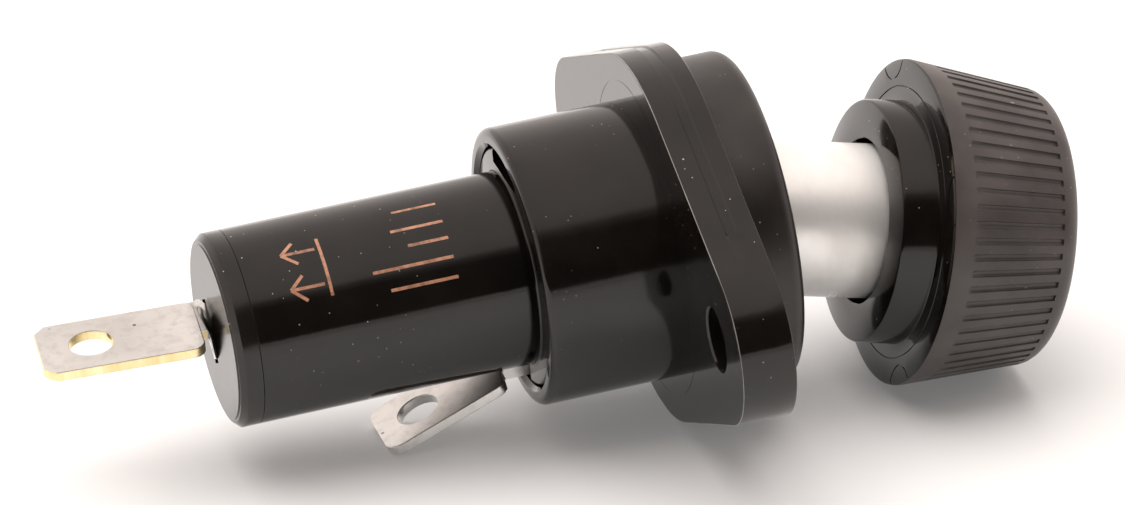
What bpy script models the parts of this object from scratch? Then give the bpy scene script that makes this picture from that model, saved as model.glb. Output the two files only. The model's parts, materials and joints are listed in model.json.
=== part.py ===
"""Panel-mount cartridge fuse holder: flanged body, two quick-connect tabs and a bayonet fuse carrier.

Frame: origin at the centre of the flange's rear face, +X along the body towards the knob, the two
mounting ears on Y, +Z up. The carrier is drawn part way out and droops in the mouth, so its pieces
hang from an empty at the point where the two axes cross, and their own +X runs along the carrier.
"""

import bmesh
import bpy
from math import asin, cos, pi, radians, sin, tau
from mathutils import Matrix

MM = 0.001
OVERRUN = 1.0  # how far a cutter passes the surface it cuts

# Body, along X
CAP_REAR = -32.5
CAP_JOINT = -30.75
SPIGOT_FRONT = -29.2
COLLAR_REAR = -10.3
HEAD_REAR = -10.05
HEAD_FLOOR = -9.0
HEAD_FRONT = -2.3
SOCKET_FLOOR = -2.0
MOUTH_FLOOR = 0.6
FLANGE_FRONT = 4.0
DISC_FRONT = 8.3

# Body, radii
BARREL_R = 7.125
BORE_R = 5.9
SPIGOT_R = 5.75
HEAD_R = 8.75
HEAD_BORE_R = 7.4
LIP_R = 6.4
COLLAR_R = 10.25
SOCKET_R = 8.9
MOUTH_R = 9.1
DISC_R = 12.3
JOINT_GAP = 0.15
KEY_SLOT = (7.3, 1.4)
KEY_LIP = (-6.1, -5.2)
CHANNEL = (1.8, -9.5, -6.2)
POCKET = (2.9, 7.225, 9.5)
POCKET_DEPTH = 2.5

# Flange outline
FLANGE_R = 13.7
EAR_R = 6.3
EAR_Y = 17.2
SCREW_HOLE_R = 2.3

# Quick-connect tabs
TAB_WIDTH = 6.35
TAB_THICK = 0.8
TAB_HOLE_R = 1.6
TAB_CHAMFER = 0.8
REAR_TAB_ROOT = (-33.5, 0.035)
REAR_TAB_LENGTH = 11.7
REAR_TAB_LIFT = 0.12
REAR_TAB_ROLL = radians(5.0)
REAR_TAB_YAW = radians(5.0)
REAR_NECK_WIDTH = 4.1
SLOT_CENTRE = (1.35, -0.6)
SLOT_TILT = radians(63.0)
FOOT_REACH = 4.4
FOOT_FRONT = -28.15
RIVET_REACH = 2.45
RIVET_R = 0.9
RIVET_HEAD_R = 1.7
RIVET_HOLE_R = 1.05
HOLE_FROM_TIP = 3.8
SIDE_HOLE_FROM_TIP = 3.35
NECK_WIDTH = 3.0
NECK_TOP = -7.3
NECK_END = -11.9
SIDE_TAB_LENGTH = 10.2
SIDE_TAB_DROP = radians(21.0)
SIDE_RIVET_X = -3.9
SIDE_RIVET_HOLE_R = 0.8
LEAF_THICK = 0.4
LEAF_HALF_WIDTH = 1.3

# Carrier, along its own axis from the point where it crosses the body's axis
CROSSING = 7.5
DROOP = radians(15.2)
SLEEVE_TIP = -4.2
SLEEVE_END = 19.3
BOSS_FACE = 8.9
SKIRT_REAR = 11.75
KNOB_FRONT = 22.4
CAVITY_END = 19.7
SLEEVE_R = 5.65
SLEEVE_BORE_R = 5.35
BOSS_R = 8.9
BOSS_BORE_R = 6.05
SKIRT_R = 12.0
KNOB_FRONT_R = 9.97
LUG_R = 6.95
LUG_PIN_R = 0.45
GROOVES = 60
GROOVE_WIDTH = 0.5
GROOVE_DEPTH = 0.3
GROOVES_START = 13.5
GROOVES_END = 20.9
RING_REAR = -3.0
RING_FRONT = -2.3
RING_R = 7.6
RING_BORE_R = 5.85
KEYWAY_R = 7.15
KEYWAY_HALF = 0.95


def clear_scene():
    for thing in list(bpy.data.objects):
        bpy.data.objects.remove(thing, do_unlink=True)


def material(name, colour, roughness, metallic=0.0):
    made = bpy.data.materials.new(name)
    made.use_nodes = True
    shader = made.node_tree.nodes["Principled BSDF"]
    shader.inputs["Base Color"].default_value = (*colour, 1.0)
    shader.inputs["Roughness"].default_value = roughness
    shader.inputs["Metallic"].default_value = metallic
    return made


def place(name, shape, look, parent=None):
    """An object from a bmesh in millimetres, shaded smooth up to 35 degrees."""
    bmesh.ops.scale(shape, vec=(MM, MM, MM), verts=shape.verts)
    bmesh.ops.recalc_face_normals(shape, faces=shape.faces)
    mesh = bpy.data.meshes.new(name)
    shape.to_mesh(mesh)
    shape.free()
    mesh.shade_smooth()
    mesh.set_sharp_from_angle(angle=radians(35))
    thing = bpy.data.objects.new(name, mesh)
    bpy.context.scene.collection.objects.link(thing)
    if look:
        mesh.materials.append(look)
    thing.parent = parent
    return thing


def turned(profile, steps, centre=(0.0, 0.0)):
    """A solid turned about X through centre (y, z). The profile is a closed loop of (x, radius)."""
    shape = bmesh.new()
    ring = [shape.verts.new((x, centre[0], centre[1] + radius)) for x, radius in profile]
    edges = [shape.edges.new((a, b)) for a, b in zip(ring, ring[1:] + ring[:1])]
    bmesh.ops.spin(
        shape,
        geom=ring + edges,
        cent=(0, centre[0], centre[1]),
        axis=(1, 0, 0),
        angle=tau,
        steps=steps,
        use_merge=True,
    )
    bmesh.ops.remove_doubles(shape, verts=shape.verts, dist=1e-5)
    on_axis = [face for face in shape.faces if face.calc_area() < 1e-9]
    bmesh.ops.delete(shape, geom=on_axis, context="FACES")
    return shape


def tube(rear, front, outer, inner, steps):
    return turned([(rear, inner), (front, inner), (front, outer), (rear, outer)], steps)


def rod(rear, front, radius, steps, centre=(0.0, 0.0)):
    shape = bmesh.new()
    made = bmesh.ops.create_circle(shape, cap_ends=True, segments=steps, radius=radius)
    for vert in made["verts"]:
        vert.co = (rear, centre[0] + vert.co.x, centre[1] + vert.co.y)
    pushed = bmesh.ops.extrude_face_region(shape, geom=list(shape.faces))
    moved = [item for item in pushed["geom"] if isinstance(item, bmesh.types.BMVert)]
    bmesh.ops.translate(shape, vec=(front - rear, 0, 0), verts=moved)
    return shape


def box(low, high):
    shape = bmesh.new()
    bmesh.ops.create_cube(shape, size=1.0)
    for vert in shape.verts:
        vert.co = [low[i] if vert.co[i] < 0 else high[i] for i in range(3)]
    return shape


def prism(outline, low, high, point):
    """A flat outline pushed from low to high. point(u, v, w) puts it in space, w being the push."""
    shape = bmesh.new()
    base = shape.faces.new([shape.verts.new(point(u, v, low)) for u, v in outline])
    pushed = bmesh.ops.extrude_face_region(shape, geom=[base])
    for item in pushed["geom"]:
        if isinstance(item, bmesh.types.BMVert):
            start = point(0, 0, low)
            end = point(0, 0, high)
            item.co = [item.co[i] + end[i] - start[i] for i in range(3)]
    return shape


def arc(centre, radius, start, end, steps):
    return [
        (centre[0] + radius * cos(start + (end - start) * i / steps),
         centre[1] + radius * sin(start + (end - start) * i / steps))
        for i in range(steps + 1)
    ]


def alter(thing, operation, shape):
    """A Boolean of the object with a hidden helper made from shape."""
    helper = place(thing.name + "_" + operation.lower() + str(len(thing.modifiers)), shape, None)
    helper.parent = thing.parent
    helper.hide_render = True
    helper.display_type = "WIRE"
    step = thing.modifiers.new(helper.name, "BOOLEAN")
    step.operation = operation
    step.solver = "EXACT"
    step.object = helper


def cut(thing, *shapes):
    for shape in shapes:
        alter(thing, "DIFFERENCE", shape)


def join(thing, *shapes):
    for shape in shapes:
        alter(thing, "UNION", shape)


def in_slot(shape):
    """Turns a shape made about the axis into the line of the end cap's slot."""
    bmesh.ops.rotate(shape, cent=(0, 0, 0), matrix=Matrix.Rotation(SLOT_TILT, 3, "X"), verts=shape.verts)
    bmesh.ops.translate(shape, vec=(0, *SLOT_CENTRE), verts=shape.verts)
    return shape


def rear_rivet_centre():
    return (
        SLOT_CENTRE[0] - RIVET_REACH * sin(SLOT_TILT),
        SLOT_CENTRE[1] + RIVET_REACH * cos(SLOT_TILT),
    )


def end_cap(look):
    rim, slot_end, slot_half = 0.45, 0.3, 0.6
    profile = [
        (CAP_REAR, 0), (SPIGOT_FRONT, 0), (SPIGOT_FRONT, SPIGOT_R), (CAP_JOINT, SPIGOT_R),
        (CAP_JOINT, BARREL_R), (CAP_REAR + rim, BARREL_R), (CAP_REAR, BARREL_R - rim),
    ]
    cap = place("end_cap", turned(profile, 64), look)
    length = REAR_NECK_WIDTH / 2 + slot_end
    slot = box((CAP_REAR - OVERRUN, -length, -slot_half), (SPIGOT_FRONT + OVERRUN, length, slot_half))
    pocket_depth, pocket_r = 0.9, 2.1
    rivet_pocket = rod(
        SPIGOT_FRONT - pocket_depth, SPIGOT_FRONT + OVERRUN, pocket_r, 24, rear_rivet_centre()
    )
    cut(cap, in_slot(slot), rivet_pocket)


def barrel(look):
    """The tube and its wider head, with the keyed lip inside, the terminal's channel and a pocket."""
    front_of_joint = CAP_JOINT + JOINT_GAP
    lip_rear, lip_front = KEY_LIP
    profile = [
        (front_of_joint, BORE_R), (HEAD_FLOOR, BORE_R), (HEAD_FLOOR, HEAD_BORE_R),
        (lip_rear, HEAD_BORE_R), (lip_rear, LIP_R), (lip_front, LIP_R), (lip_front, HEAD_BORE_R),
        (HEAD_FRONT, HEAD_BORE_R), (HEAD_FRONT, HEAD_R), (HEAD_REAR, HEAD_R),
        (HEAD_REAR, BARREL_R), (front_of_joint, BARREL_R),
    ]
    made = place("barrel", turned(profile, 64), look)
    reach, key_half = KEY_SLOT
    keyways = box((lip_rear - 0.1, -reach, -key_half), (lip_front + 0.1, reach, key_half))
    channel_half, channel_low, channel_high = CHANNEL
    rear = HEAD_REAR - OVERRUN
    channel = box((rear, -channel_half, channel_low), (HEAD_FRONT + OVERRUN, channel_half, channel_high))
    pocket_half, pocket_low, pocket_high = POCKET
    pocket = box((rear, -pocket_half, pocket_low), (HEAD_REAR + POCKET_DEPTH, pocket_half, pocket_high))
    cut(made, keyways, channel, pocket)


def flange_outline():
    """The centre arc, the two ear tips and the straight sides that touch both, in (y, z)."""
    lean = asin((FLANGE_R - EAR_R) / EAR_Y)
    quarter = pi / 2
    return (
        arc((0, 0), FLANGE_R, quarter - lean, quarter + lean, 10)
        + arc((-EAR_Y, 0), EAR_R, quarter + lean, 3 * quarter - lean, 14)
        + arc((0, 0), FLANGE_R, 3 * quarter - lean, 3 * quarter + lean, 10)
        + arc((EAR_Y, 0), EAR_R, lean - quarter, quarter - lean, 14)
    )


def front_housing(look):
    shape = prism(flange_outline(), 0, FLANGE_FRONT, lambda y, z, x: (x, y, z))
    housing = place("front_housing", shape, look)
    lip = 0.5
    collar = [
        (COLLAR_REAR + lip, 0), (COLLAR_REAR, COLLAR_R - lip), (COLLAR_REAR + 0.15, COLLAR_R - 0.15),
        (COLLAR_REAR + lip, COLLAR_R), (1.0, COLLAR_R), (1.0, 0),
    ]
    edge = 1.0
    disc = [(2.0, 0), (2.0, DISC_R), (DISC_FRONT - edge, DISC_R)]
    disc += [
        (DISC_FRONT - edge + edge * sin(a), DISC_R - edge + edge * cos(a))
        for a in (radians(30), radians(60), radians(90))
    ]
    disc += [(DISC_FRONT, 0)]
    join(housing, turned(collar, 64), turned(disc, 72))
    bore = [
        (COLLAR_REAR - 1, 0), (COLLAR_REAR - 1, SOCKET_R), (SOCKET_FLOOR, SOCKET_R),
        (SOCKET_FLOOR, HEAD_BORE_R), (MOUTH_FLOOR, HEAD_BORE_R), (MOUTH_FLOOR, MOUTH_R),
        (DISC_FRONT + 1, MOUTH_R), (DISC_FRONT + 1, 0),
    ]
    holes = [rod(-1, FLANGE_FRONT + 1, SCREW_HOLE_R, 32, (side * EAR_Y, 0)) for side in (-1, 1)]
    cut(housing, turned(bore, 64), *holes)


def twisted_neck(start, end, steps):
    """The neck from the blade, where it lies flat, to the slot, where it stands at the slot's tilt."""
    half = REAR_NECK_WIDTH / 2
    thin = TAB_THICK / 2 - 0.05
    first_centre = (1.05, TAB_THICK / 2 + REAR_TAB_LIFT + 1.05 * sin(REAR_TAB_ROLL))
    shape = bmesh.new()
    rings = []
    for i in range(steps + 1):
        share = max(0.0, (i - 1) / (steps - 1))
        eased = share * share * (3 - 2 * share)
        angle = REAR_TAB_ROLL + (SLOT_TILT - REAR_TAB_ROLL) * eased
        y0 = first_centre[0] + (SLOT_CENTRE[0] - first_centre[0]) * eased
        z0 = first_centre[1] + (SLOT_CENTRE[1] - first_centre[1]) * eased
        x = start + (end - start) * share if i else start - 0.35
        corners = [(-half, -thin), (half, -thin), (half, thin), (-half, thin)]
        rings.append([
            shape.verts.new((x, y0 + s * cos(angle) - t * sin(angle), z0 + s * sin(angle) + t * cos(angle)))
            for s, t in corners
        ])
    for ring, after in zip(rings, rings[1:]):
        for j in range(4):
            k = (j + 1) % 4
            shape.faces.new((ring[j], ring[k], after[k]))
            shape.faces.new((ring[j], after[k], after[j]))
    shape.faces.new(rings[0])
    shape.faces.new(rings[-1])
    return shape


def rear_terminal(look):
    """A blade whose neck twists into the end cap's slot and ends inside in a foot for the rivet."""
    half, corner = TAB_WIDTH / 2, 0.9

    def blade_point(u, v, w):
        across = v * cos(REAR_TAB_ROLL) - w * sin(REAR_TAB_ROLL)
        return (
            REAR_TAB_ROOT[0] + u * cos(REAR_TAB_YAW) + across * sin(REAR_TAB_YAW),
            REAR_TAB_ROOT[1] + across * cos(REAR_TAB_YAW) - u * sin(REAR_TAB_YAW),
            REAR_TAB_LIFT + v * sin(REAR_TAB_ROLL) + w * cos(REAR_TAB_ROLL),
        )

    side = [(-REAR_TAB_LENGTH, -half + TAB_CHAMFER), (-REAR_TAB_LENGTH + TAB_CHAMFER, -half)]
    side += arc((-corner, -half + corner), corner, 1.5 * pi, tau, 4)
    outline = side + [(u, -v) for u, v in reversed(side)]
    blade = place("rear_terminal", prism(outline, 0, TAB_THICK, blade_point), look)
    neck_half = REAR_NECK_WIDTH / 2
    through = box((CAP_REAR - 0.05, -neck_half + 0.01, -0.33), (FOOT_FRONT - 0.02, neck_half - 0.01, 0.33))
    foot = box(
        (FOOT_FRONT - TAB_THICK, -neck_half + 0.04, -0.3), (FOOT_FRONT, neck_half - 0.04, FOOT_REACH)
    )
    neck = twisted_neck(REAR_TAB_ROOT[0] - 0.15, CAP_REAR, 13)
    join(blade, neck, in_slot(through), in_slot(foot))
    rivet_hole = rod(FOOT_FRONT - 2, FOOT_FRONT + OVERRUN, RIVET_HOLE_R, 20, rear_rivet_centre())
    cut(blade, tab_hole(HOLE_FROM_TIP - REAR_TAB_LENGTH, blade_point), rivet_hole)


def tab_hole(u, point):
    """The round hole of a quick-connect tab, as a cutter through it."""
    sides = 28
    outline = arc((u, 0), TAB_HOLE_R, 0, tau * (sides - 1) / sides, sides - 1)
    return prism(outline, -OVERRUN, TAB_THICK + OVERRUN, point)


def rear_contacts(brass, rivet_look):
    """The cup that takes the fuse's rear cap, and the rivet that fastens it to the terminal."""
    base_rear, base_front, rim_front = -27.85, -27.05, -25.3
    outer, inner, base_inner = 5.7, 5.35, 5.25
    profile = [
        (base_rear, 0), (base_rear, outer), (rim_front, outer), (rim_front, inner),
        (base_front, base_inner), (base_front, 0),
    ]
    cup = place("rear_contact_cup", turned(profile, 48), brass)
    cut(cup, rod(base_rear - OVERRUN, base_front + OVERRUN, RIVET_HOLE_R, 20, rear_rivet_centre()))
    tail_rear, tail_front, head_rear, head_front = -29.6, -29.05, -26.95, -26.5
    crown = RIVET_HEAD_R - 0.4
    rivet = [
        (tail_rear, 0), (tail_rear, crown), (tail_front, RIVET_HEAD_R), (tail_front, RIVET_R),
        (head_rear, RIVET_R), (head_rear, RIVET_HEAD_R), (head_front, crown), (head_front, 0),
    ]
    place("rear_rivet", turned(rivet, 24, rear_rivet_centre()), rivet_look)


def side_terminal(look):
    """A narrow neck along the channel, then a full-width tab that leans down and back."""
    half, neck = TAB_WIDTH / 2, NECK_WIDTH / 2
    neck_front = -2.7

    def lean_point(u, v, w):
        return (
            NECK_END + u * cos(SIDE_TAB_DROP) + w * sin(SIDE_TAB_DROP),
            v,
            NECK_TOP + u * sin(SIDE_TAB_DROP) - w * cos(SIDE_TAB_DROP),
        )

    corner = 1.2
    side = arc((-SIDE_TAB_LENGTH + corner, -half + corner), corner, pi, 1.5 * pi, 4)
    side += [(-1.2, -half), (-0.5, -half + 0.35), (-0.35, -neck - 0.3), (-0.3, -neck), (0.2, -neck)]
    outline = side + [(u, -v) for u, v in reversed(side)]
    tab = place("side_terminal", prism(outline, 0, TAB_THICK, lean_point), look)
    join(tab, box((NECK_END - 0.1, -neck, NECK_TOP - TAB_THICK), (neck_front, neck, NECK_TOP)))
    rivet_hole = standing_on_z(rod(-10, -5, SIDE_RIVET_HOLE_R, 20), SIDE_RIVET_X)
    cut(tab, tab_hole(SIDE_HOLE_FROM_TIP - SIDE_TAB_LENGTH, lean_point), rivet_hole)


def standing_on_z(shape, x):
    """Turns a shape made along X so that it stands along Z at this x."""
    bmesh.ops.rotate(shape, cent=(0, 0, 0), matrix=Matrix.Rotation(-pi / 2, 3, "Y"), verts=shape.verts)
    bmesh.ops.translate(shape, vec=(x, 0, 0), verts=shape.verts)
    return shape


def side_contact(brass, rivet_look):
    """A folded leaf that presses on the sleeve, and the rivet that holds it to the side terminal."""
    outside = [
        (-5.8, -7.15), (-2.9, -7.15), (-2.35, -6.85), (-2.45, -6.4), (-4.1, -5.95), (-5.0, -5.95),
        (-5.7, -6.25),
    ]
    inside = [
        (-5.5, -6.55), (-4.9, -5.95 - LEAF_THICK), (-4.2, -5.95 - LEAF_THICK), (-2.95, -6.6),
        (-3.0, -7.15 + LEAF_THICK), (-5.8, -7.15 + LEAF_THICK),
    ]
    shape = prism(outside + inside, -LEAF_HALF_WIDTH, LEAF_HALF_WIDTH, lambda x, z, y: (x, y, z))
    leaf = place("side_contact_spring", shape, brass)
    cut(leaf, standing_on_z(rod(-10, -6.65, SIDE_RIVET_HOLE_R, 20), SIDE_RIVET_X))
    rivet = [
        (-8.6, 0), (-8.6, 0.8), (-8.2, 1.05), (-8.2, 0.65), (-6.68, 0.65), (-6.68, 0.95),
        (-6.52, 0.8), (-6.52, 0),
    ]
    place("side_rivet", standing_on_z(turned(rivet, 20), SIDE_RIVET_X), rivet_look)


def mouth_ring(look, axis):
    ring = place("keyed_mouth_ring", tube(RING_REAR, RING_FRONT, RING_R, RING_BORE_R, 48), look, axis)
    cut(ring, box((RING_REAR - 1, -KEYWAY_R, -KEYWAY_HALF), (RING_FRONT + 1, KEYWAY_R, KEYWAY_HALF)))


def contact_sleeve(nickel, axis):
    sleeve = tube(SLEEVE_TIP, SLEEVE_END, SLEEVE_R, SLEEVE_BORE_R, 64)
    sleeve = place("contact_sleeve", sleeve, nickel, axis)
    pin_x = SLEEVE_TIP + 0.6
    for side, name in ((-1, "bayonet_pin_near"), (1, "bayonet_pin_far")):
        reach = sorted((side * (SLEEVE_BORE_R + 0.03), side * LUG_R))
        pin = lying_on_y(rod(reach[0], reach[1], LUG_PIN_R, 16), pin_x)
        place(name, pin, nickel, axis)
    cut(sleeve, lying_on_y(rod(-8, 8, LUG_PIN_R + 0.08, 16), pin_x))


def lying_on_y(shape, x):
    bmesh.ops.rotate(shape, cent=(0, 0, 0), matrix=Matrix.Rotation(pi / 2, 3, "Z"), verts=shape.verts)
    bmesh.ops.translate(shape, vec=(x, 0, 0), verts=shape.verts)
    return shape


def knob(look, axis):
    """The boss and the tapered grip, with its grooves, made ring by ring."""
    edge = 1.5
    taper = (SKIRT_R - KNOB_FRONT_R) / (KNOB_FRONT - SKIRT_REAR)

    def grip_r(x):
        return SKIRT_R - taper * (x - SKIRT_REAR)

    grooved = [GROOVES_START, GROOVES_START + 0.25, GROOVES_END, GROOVES_END + 0.05]
    rings = [(BOSS_FACE, BOSS_R - 0.2, 0), (BOSS_FACE + 0.2, BOSS_R, 0), (SKIRT_REAR, BOSS_R, 0)]
    rings += [(SKIRT_REAR, SKIRT_R - 0.3, 0), (SKIRT_REAR + 0.3, grip_r(SKIRT_REAR + 0.3), 0)]
    rings += [(x, grip_r(x), depth) for x, depth in zip(grooved, (0, GROOVE_DEPTH, GROOVE_DEPTH, 0))]
    round_start = KNOB_FRONT - edge
    rings += [(round_start + 0.2, grip_r(round_start) - 0.05, 0)]
    rings += [
        (round_start + edge * sin(a), grip_r(round_start) - 0.1 - edge * (1 - cos(a)), 0)
        for a in (radians(35), radians(65), radians(90))
    ]
    pitch = tau / GROOVES
    shape = bmesh.new()
    rows = []
    for x, radius, depth in rings:
        half = GROOVE_WIDTH / 2 / radius
        row = []
        for i in range(GROOVES):
            for angle, drop in ((-half, 0), (0, depth), (half, 0)):
                turn = i * pitch + angle
                r = radius - drop
                row.append(shape.verts.new((x, r * sin(turn), r * cos(turn))))
        rows.append(row)
    for low, high in zip(rows, rows[1:]):
        for i in range(len(low)):
            j = (i + 1) % len(low)
            shape.faces.new((low[i], low[j], high[j], high[i]))
    shape.faces.new(rows[0])
    shape.faces.new(list(reversed(rows[-1])))
    made = place("knob", shape, look, axis)
    cut(made, rod(BOSS_FACE - 1, CAVITY_END, BOSS_BORE_R, 48), rod(CAVITY_END - 1, 21.6, 1.45, 20))


def carrier_inside(brass, steel, axis):
    """What closes the sleeve, holds it in the knob and presses the fuse."""
    plug = [(18.6, 1.45), (19.3, 1.45), (19.3, 5.15), (18.6, 5.15)]
    place("sleeve_plug", turned(plug, 40), brass, axis)
    place("screw_lock_washer", tube(18.0, 18.4, 2.6, 1.4, 24), steel, axis)
    screw = [(17.0, 0), (17.0, 1.7), (17.3, 2.2), (17.8, 2.2), (17.8, 1.2), (21.3, 1.2), (21.3, 0)]
    driven = place("carrier_screw", turned(screw, 24), steel, axis)
    cut(driven, box((16.5, -3, -0.3), (17.35, 3, 0.3)))
    place("thrust_washer", tube(17.7, 18.3, 5.1, 2.9, 40), brass, axis)
    follower = [
        (12.25, 0), (12.25, 4.7), (12.5, 5.05), (14.0, 5.05), (14.0, 4.65), (13.0, 4.65), (13.0, 0),
    ]
    place("fuse_follower", turned(follower, 40), brass, axis)


def knob_spring(steel, axis):
    """Three turns of 0.6 mm wire, narrow at the follower, so that they nest as it closes."""
    wire_r, narrow_r, wide_r, turns, per_turn = 0.3, 2.3, 4.4, 3, 16
    low, high = 13.45, 17.3
    curve = bpy.data.curves.new("knob_spring", "CURVE")
    curve.dimensions = "3D"
    curve.bevel_depth = wire_r * MM
    curve.bevel_resolution = 2
    curve.use_fill_caps = True
    count = turns * per_turn + 1
    spline = curve.splines.new("POLY")
    spline.points.add(count - 1)
    for i, point in enumerate(spline.points):
        turn = tau * i / per_turn
        mean_r = narrow_r + (wide_r - narrow_r) * i / (count - 1)
        x = low + wire_r + (high - low - 2 * wire_r) * i / (count - 1)
        point.co = (x * MM, mean_r * cos(turn) * MM, mean_r * sin(turn) * MM, 1)
    curve.materials.append(steel)
    coil = bpy.data.objects.new("knob_spring", curve)
    bpy.context.scene.collection.objects.link(coil)
    coil.parent = axis


def main():
    clear_scene()
    phenolic = material("black_phenolic", (0.02, 0.018, 0.017), 0.3)
    nickel = material("bright_nickel", (0.78, 0.77, 0.74), 0.2, 1.0)
    tinned = material("tinned_brass", (0.72, 0.71, 0.68), 0.35, 1.0)
    brass = material("brass", (0.75, 0.58, 0.28), 0.3, 1.0)
    steel = material("zinc_steel", (0.6, 0.6, 0.6), 0.35, 1.0)
    axis = bpy.data.objects.new("carrier_axis", None)
    bpy.context.scene.collection.objects.link(axis)
    axis.location = (CROSSING * MM, 0, 0)
    axis.rotation_euler = (0, DROOP, 0)
    end_cap(phenolic)
    barrel(phenolic)
    front_housing(phenolic)
    rear_terminal(tinned)
    rear_contacts(brass, tinned)
    side_terminal(tinned)
    side_contact(brass, tinned)
    mouth_ring(brass, axis)
    contact_sleeve(nickel, axis)
    knob(phenolic, axis)
    carrier_inside(brass, steel, axis)
    knob_spring(steel, axis)


main()
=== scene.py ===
"""Looks for the panel-mount fuse holder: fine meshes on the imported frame, materials, floor, light, camera."""

import json
from math import asin, atan2, cos, pi, radians, sin, sqrt, tau

import bmesh
import bpy
from mathutils import Matrix, Vector


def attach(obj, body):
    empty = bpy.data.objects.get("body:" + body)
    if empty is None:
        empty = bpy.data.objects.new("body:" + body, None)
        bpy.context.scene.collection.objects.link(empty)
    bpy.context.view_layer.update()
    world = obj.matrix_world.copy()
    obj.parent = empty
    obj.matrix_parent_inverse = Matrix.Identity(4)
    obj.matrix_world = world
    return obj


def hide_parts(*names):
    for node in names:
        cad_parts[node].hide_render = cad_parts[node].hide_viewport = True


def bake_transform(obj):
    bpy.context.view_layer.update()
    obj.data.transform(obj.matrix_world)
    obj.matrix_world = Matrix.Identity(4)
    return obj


MM = 0.001

# Body along X, in millimetres, as the CAD has it
CAP_REAR = -32.5
CAP_JOINT = -30.75
SPIGOT_FRONT = -29.2
COLLAR_REAR = -10.3
HEAD_REAR = -10.05
HEAD_FLOOR = -9.0
HEAD_FRONT = -2.3
SOCKET_FLOOR = -2.0
MOUTH_FLOOR = 0.6
FLANGE_FRONT = 4.0
DISC_FRONT = 8.3

# Body radii
BARREL_R = 7.125
BORE_R = 5.9
SPIGOT_R = 5.75
HEAD_R = 8.75
HEAD_BORE_R = 7.4
LIP_R = 6.4
COLLAR_R = 10.25
SOCKET_R = 8.9
MOUTH_R = 9.1
DISC_R = 12.3

# Barrel lip with its two keyways, and the pocket for the side terminal's neck and the one on top
LIP_REAR = -6.1
LIP_FRONT = -5.2
KEYWAY_HALF = 1.4
LOW_POCKET_HALF = 1.8
LOW_POCKET = (-9.5, -6.2)
TOP_POCKET_HALF = 2.9
TOP_POCKET_DEPTH = 2.5
POCKET_TOP = 9.5

# Flange
FLANGE_R = 13.7
EAR_R = 6.3
EAR_Y = 17.2
SCREW_HOLE_R = 2.3
BAND_REAR = 1.7
BAND_FRONT = 2.6
BAND_DEPTH = 0.13
BAND_EDGE = 0.12
BAND_STOP = 0.78
FLANGE_EDGE = 0.13
RING_LINE_R = 11.73
HOLE_CHAMFER = 0.15

# Quick-connect tabs
TAB_WIDTH = 6.35
TAB_THICK = 0.8
TAB_HOLE_R = 1.6
TAB_CHAMFER = 0.8
TAB_BEVEL = 0.09
REAR_TAB_ROOT = (-33.5, 0.035)
REAR_TAB_LENGTH = 11.7
REAR_TAB_LIFT = 0.12
REAR_TAB_ROLL = radians(5.0)
REAR_TAB_YAW = radians(5.0)
REAR_TAB_CORNER = 0.9
REAR_HOLE_FROM_TIP = 3.8
REAR_NECK_WIDTH = 4.1
REAR_NECK_SIDE = 1.05
TWIST_START = 0.4
FOOT_FRONT = -28.15
FOOT_HALF_THICK = 0.33
SLOT_CENTRE = (1.35, -0.6)
SLOT_TILT = radians(63.0)
NECK_WIDTH = 3.0
NECK_TOP = -7.3
NECK_END = -11.9
SIDE_TAB_LENGTH = 10.2
SIDE_TAB_DROP = radians(21.0)
SIDE_TAB_CORNER = 1.2
SIDE_HOLE_FROM_TIP = 3.35
SIDE_NECK_FRONT = -2.7

# Carrier, along its own axis from the point where it crosses the body's
SLEEVE_TIP = -4.2
SLEEVE_END = 19.3
BOSS_FACE = 8.9
SKIRT_REAR = 11.75
KNOB_FRONT = 22.4
CAVITY_END = 19.7
SLEEVE_R = 5.65
SLEEVE_BORE_R = 5.35
BOSS_R = 8.9
BOSS_BORE_R = 6.05
SKIRT_R = 12.0
KNOB_FRONT_R = 9.97
KNOB_EDGE = 1.5
LUG_PIN_R = 0.45
FACE_LINE_R = 9.95
MARK_R = 2.05
MARK_CENTRE_R = 12.55
MARK_DEPTH = 0.07
MARK_TURN = 0.56
SCREW_BORE_R = 1.45
SCREW_BORE_END = 21.6
GROOVES = 60
GROOVE_WIDTH = 0.52
GROOVE_DEPTH = 0.2
GROOVES_START = 13.5
GROOVES_END = 20.9
SPRING_REAR = 13.45
SPRING_FRONT = 17.3
SPRING_WIRE_R = 0.3
SPRING_REAR_R = 2.3
SPRING_FRONT_R = 4.4
SPRING_TURNS = 3

# Print on the barrel: (degrees up from the near side, rear end, front end) of each bar
INK_WIDTH = 0.24
INK_HEIGHT = 0.012
ARROW_TURNS = (64.7, 41.7)
ARROW_TIP = -27.6
ARROW_TAIL = -25.15
ARROW_HEAD = 0.95
CROSS_BAR_X = -24.8
BARS = (
    (29.5, -20.6, -15.6), (41.5, -21.6, -15.6), (53.5, -18.6, -15.6), (65, -19.5, -15.6), (80, -18.9, -15.6),
)

# Camera: right, up and towards-the-camera directions, and where it looks
VIEW_RIGHT = Vector((0.9555, -0.2805, -0.091))
VIEW_UP = Vector((0.2073, 0.42, 0.8833))
VIEW_CENTRE = (-6.07, -1.05)
VIEW_WIDTH = 81.5
LENS = 300.0
SENSOR = 36.0

# Floor, under the point (x, z), and the soft light over it
FLOOR_TILT = radians(4.9)
FLOOR_POINT = (2.0, -13.72)
FLOOR_HALF = 2000.0
LIGHT_PLACE = (-0.02, 0.14, 0.8)
LIGHT_SIZE = 1.2
LIGHT_WATTS = 12.0

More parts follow.
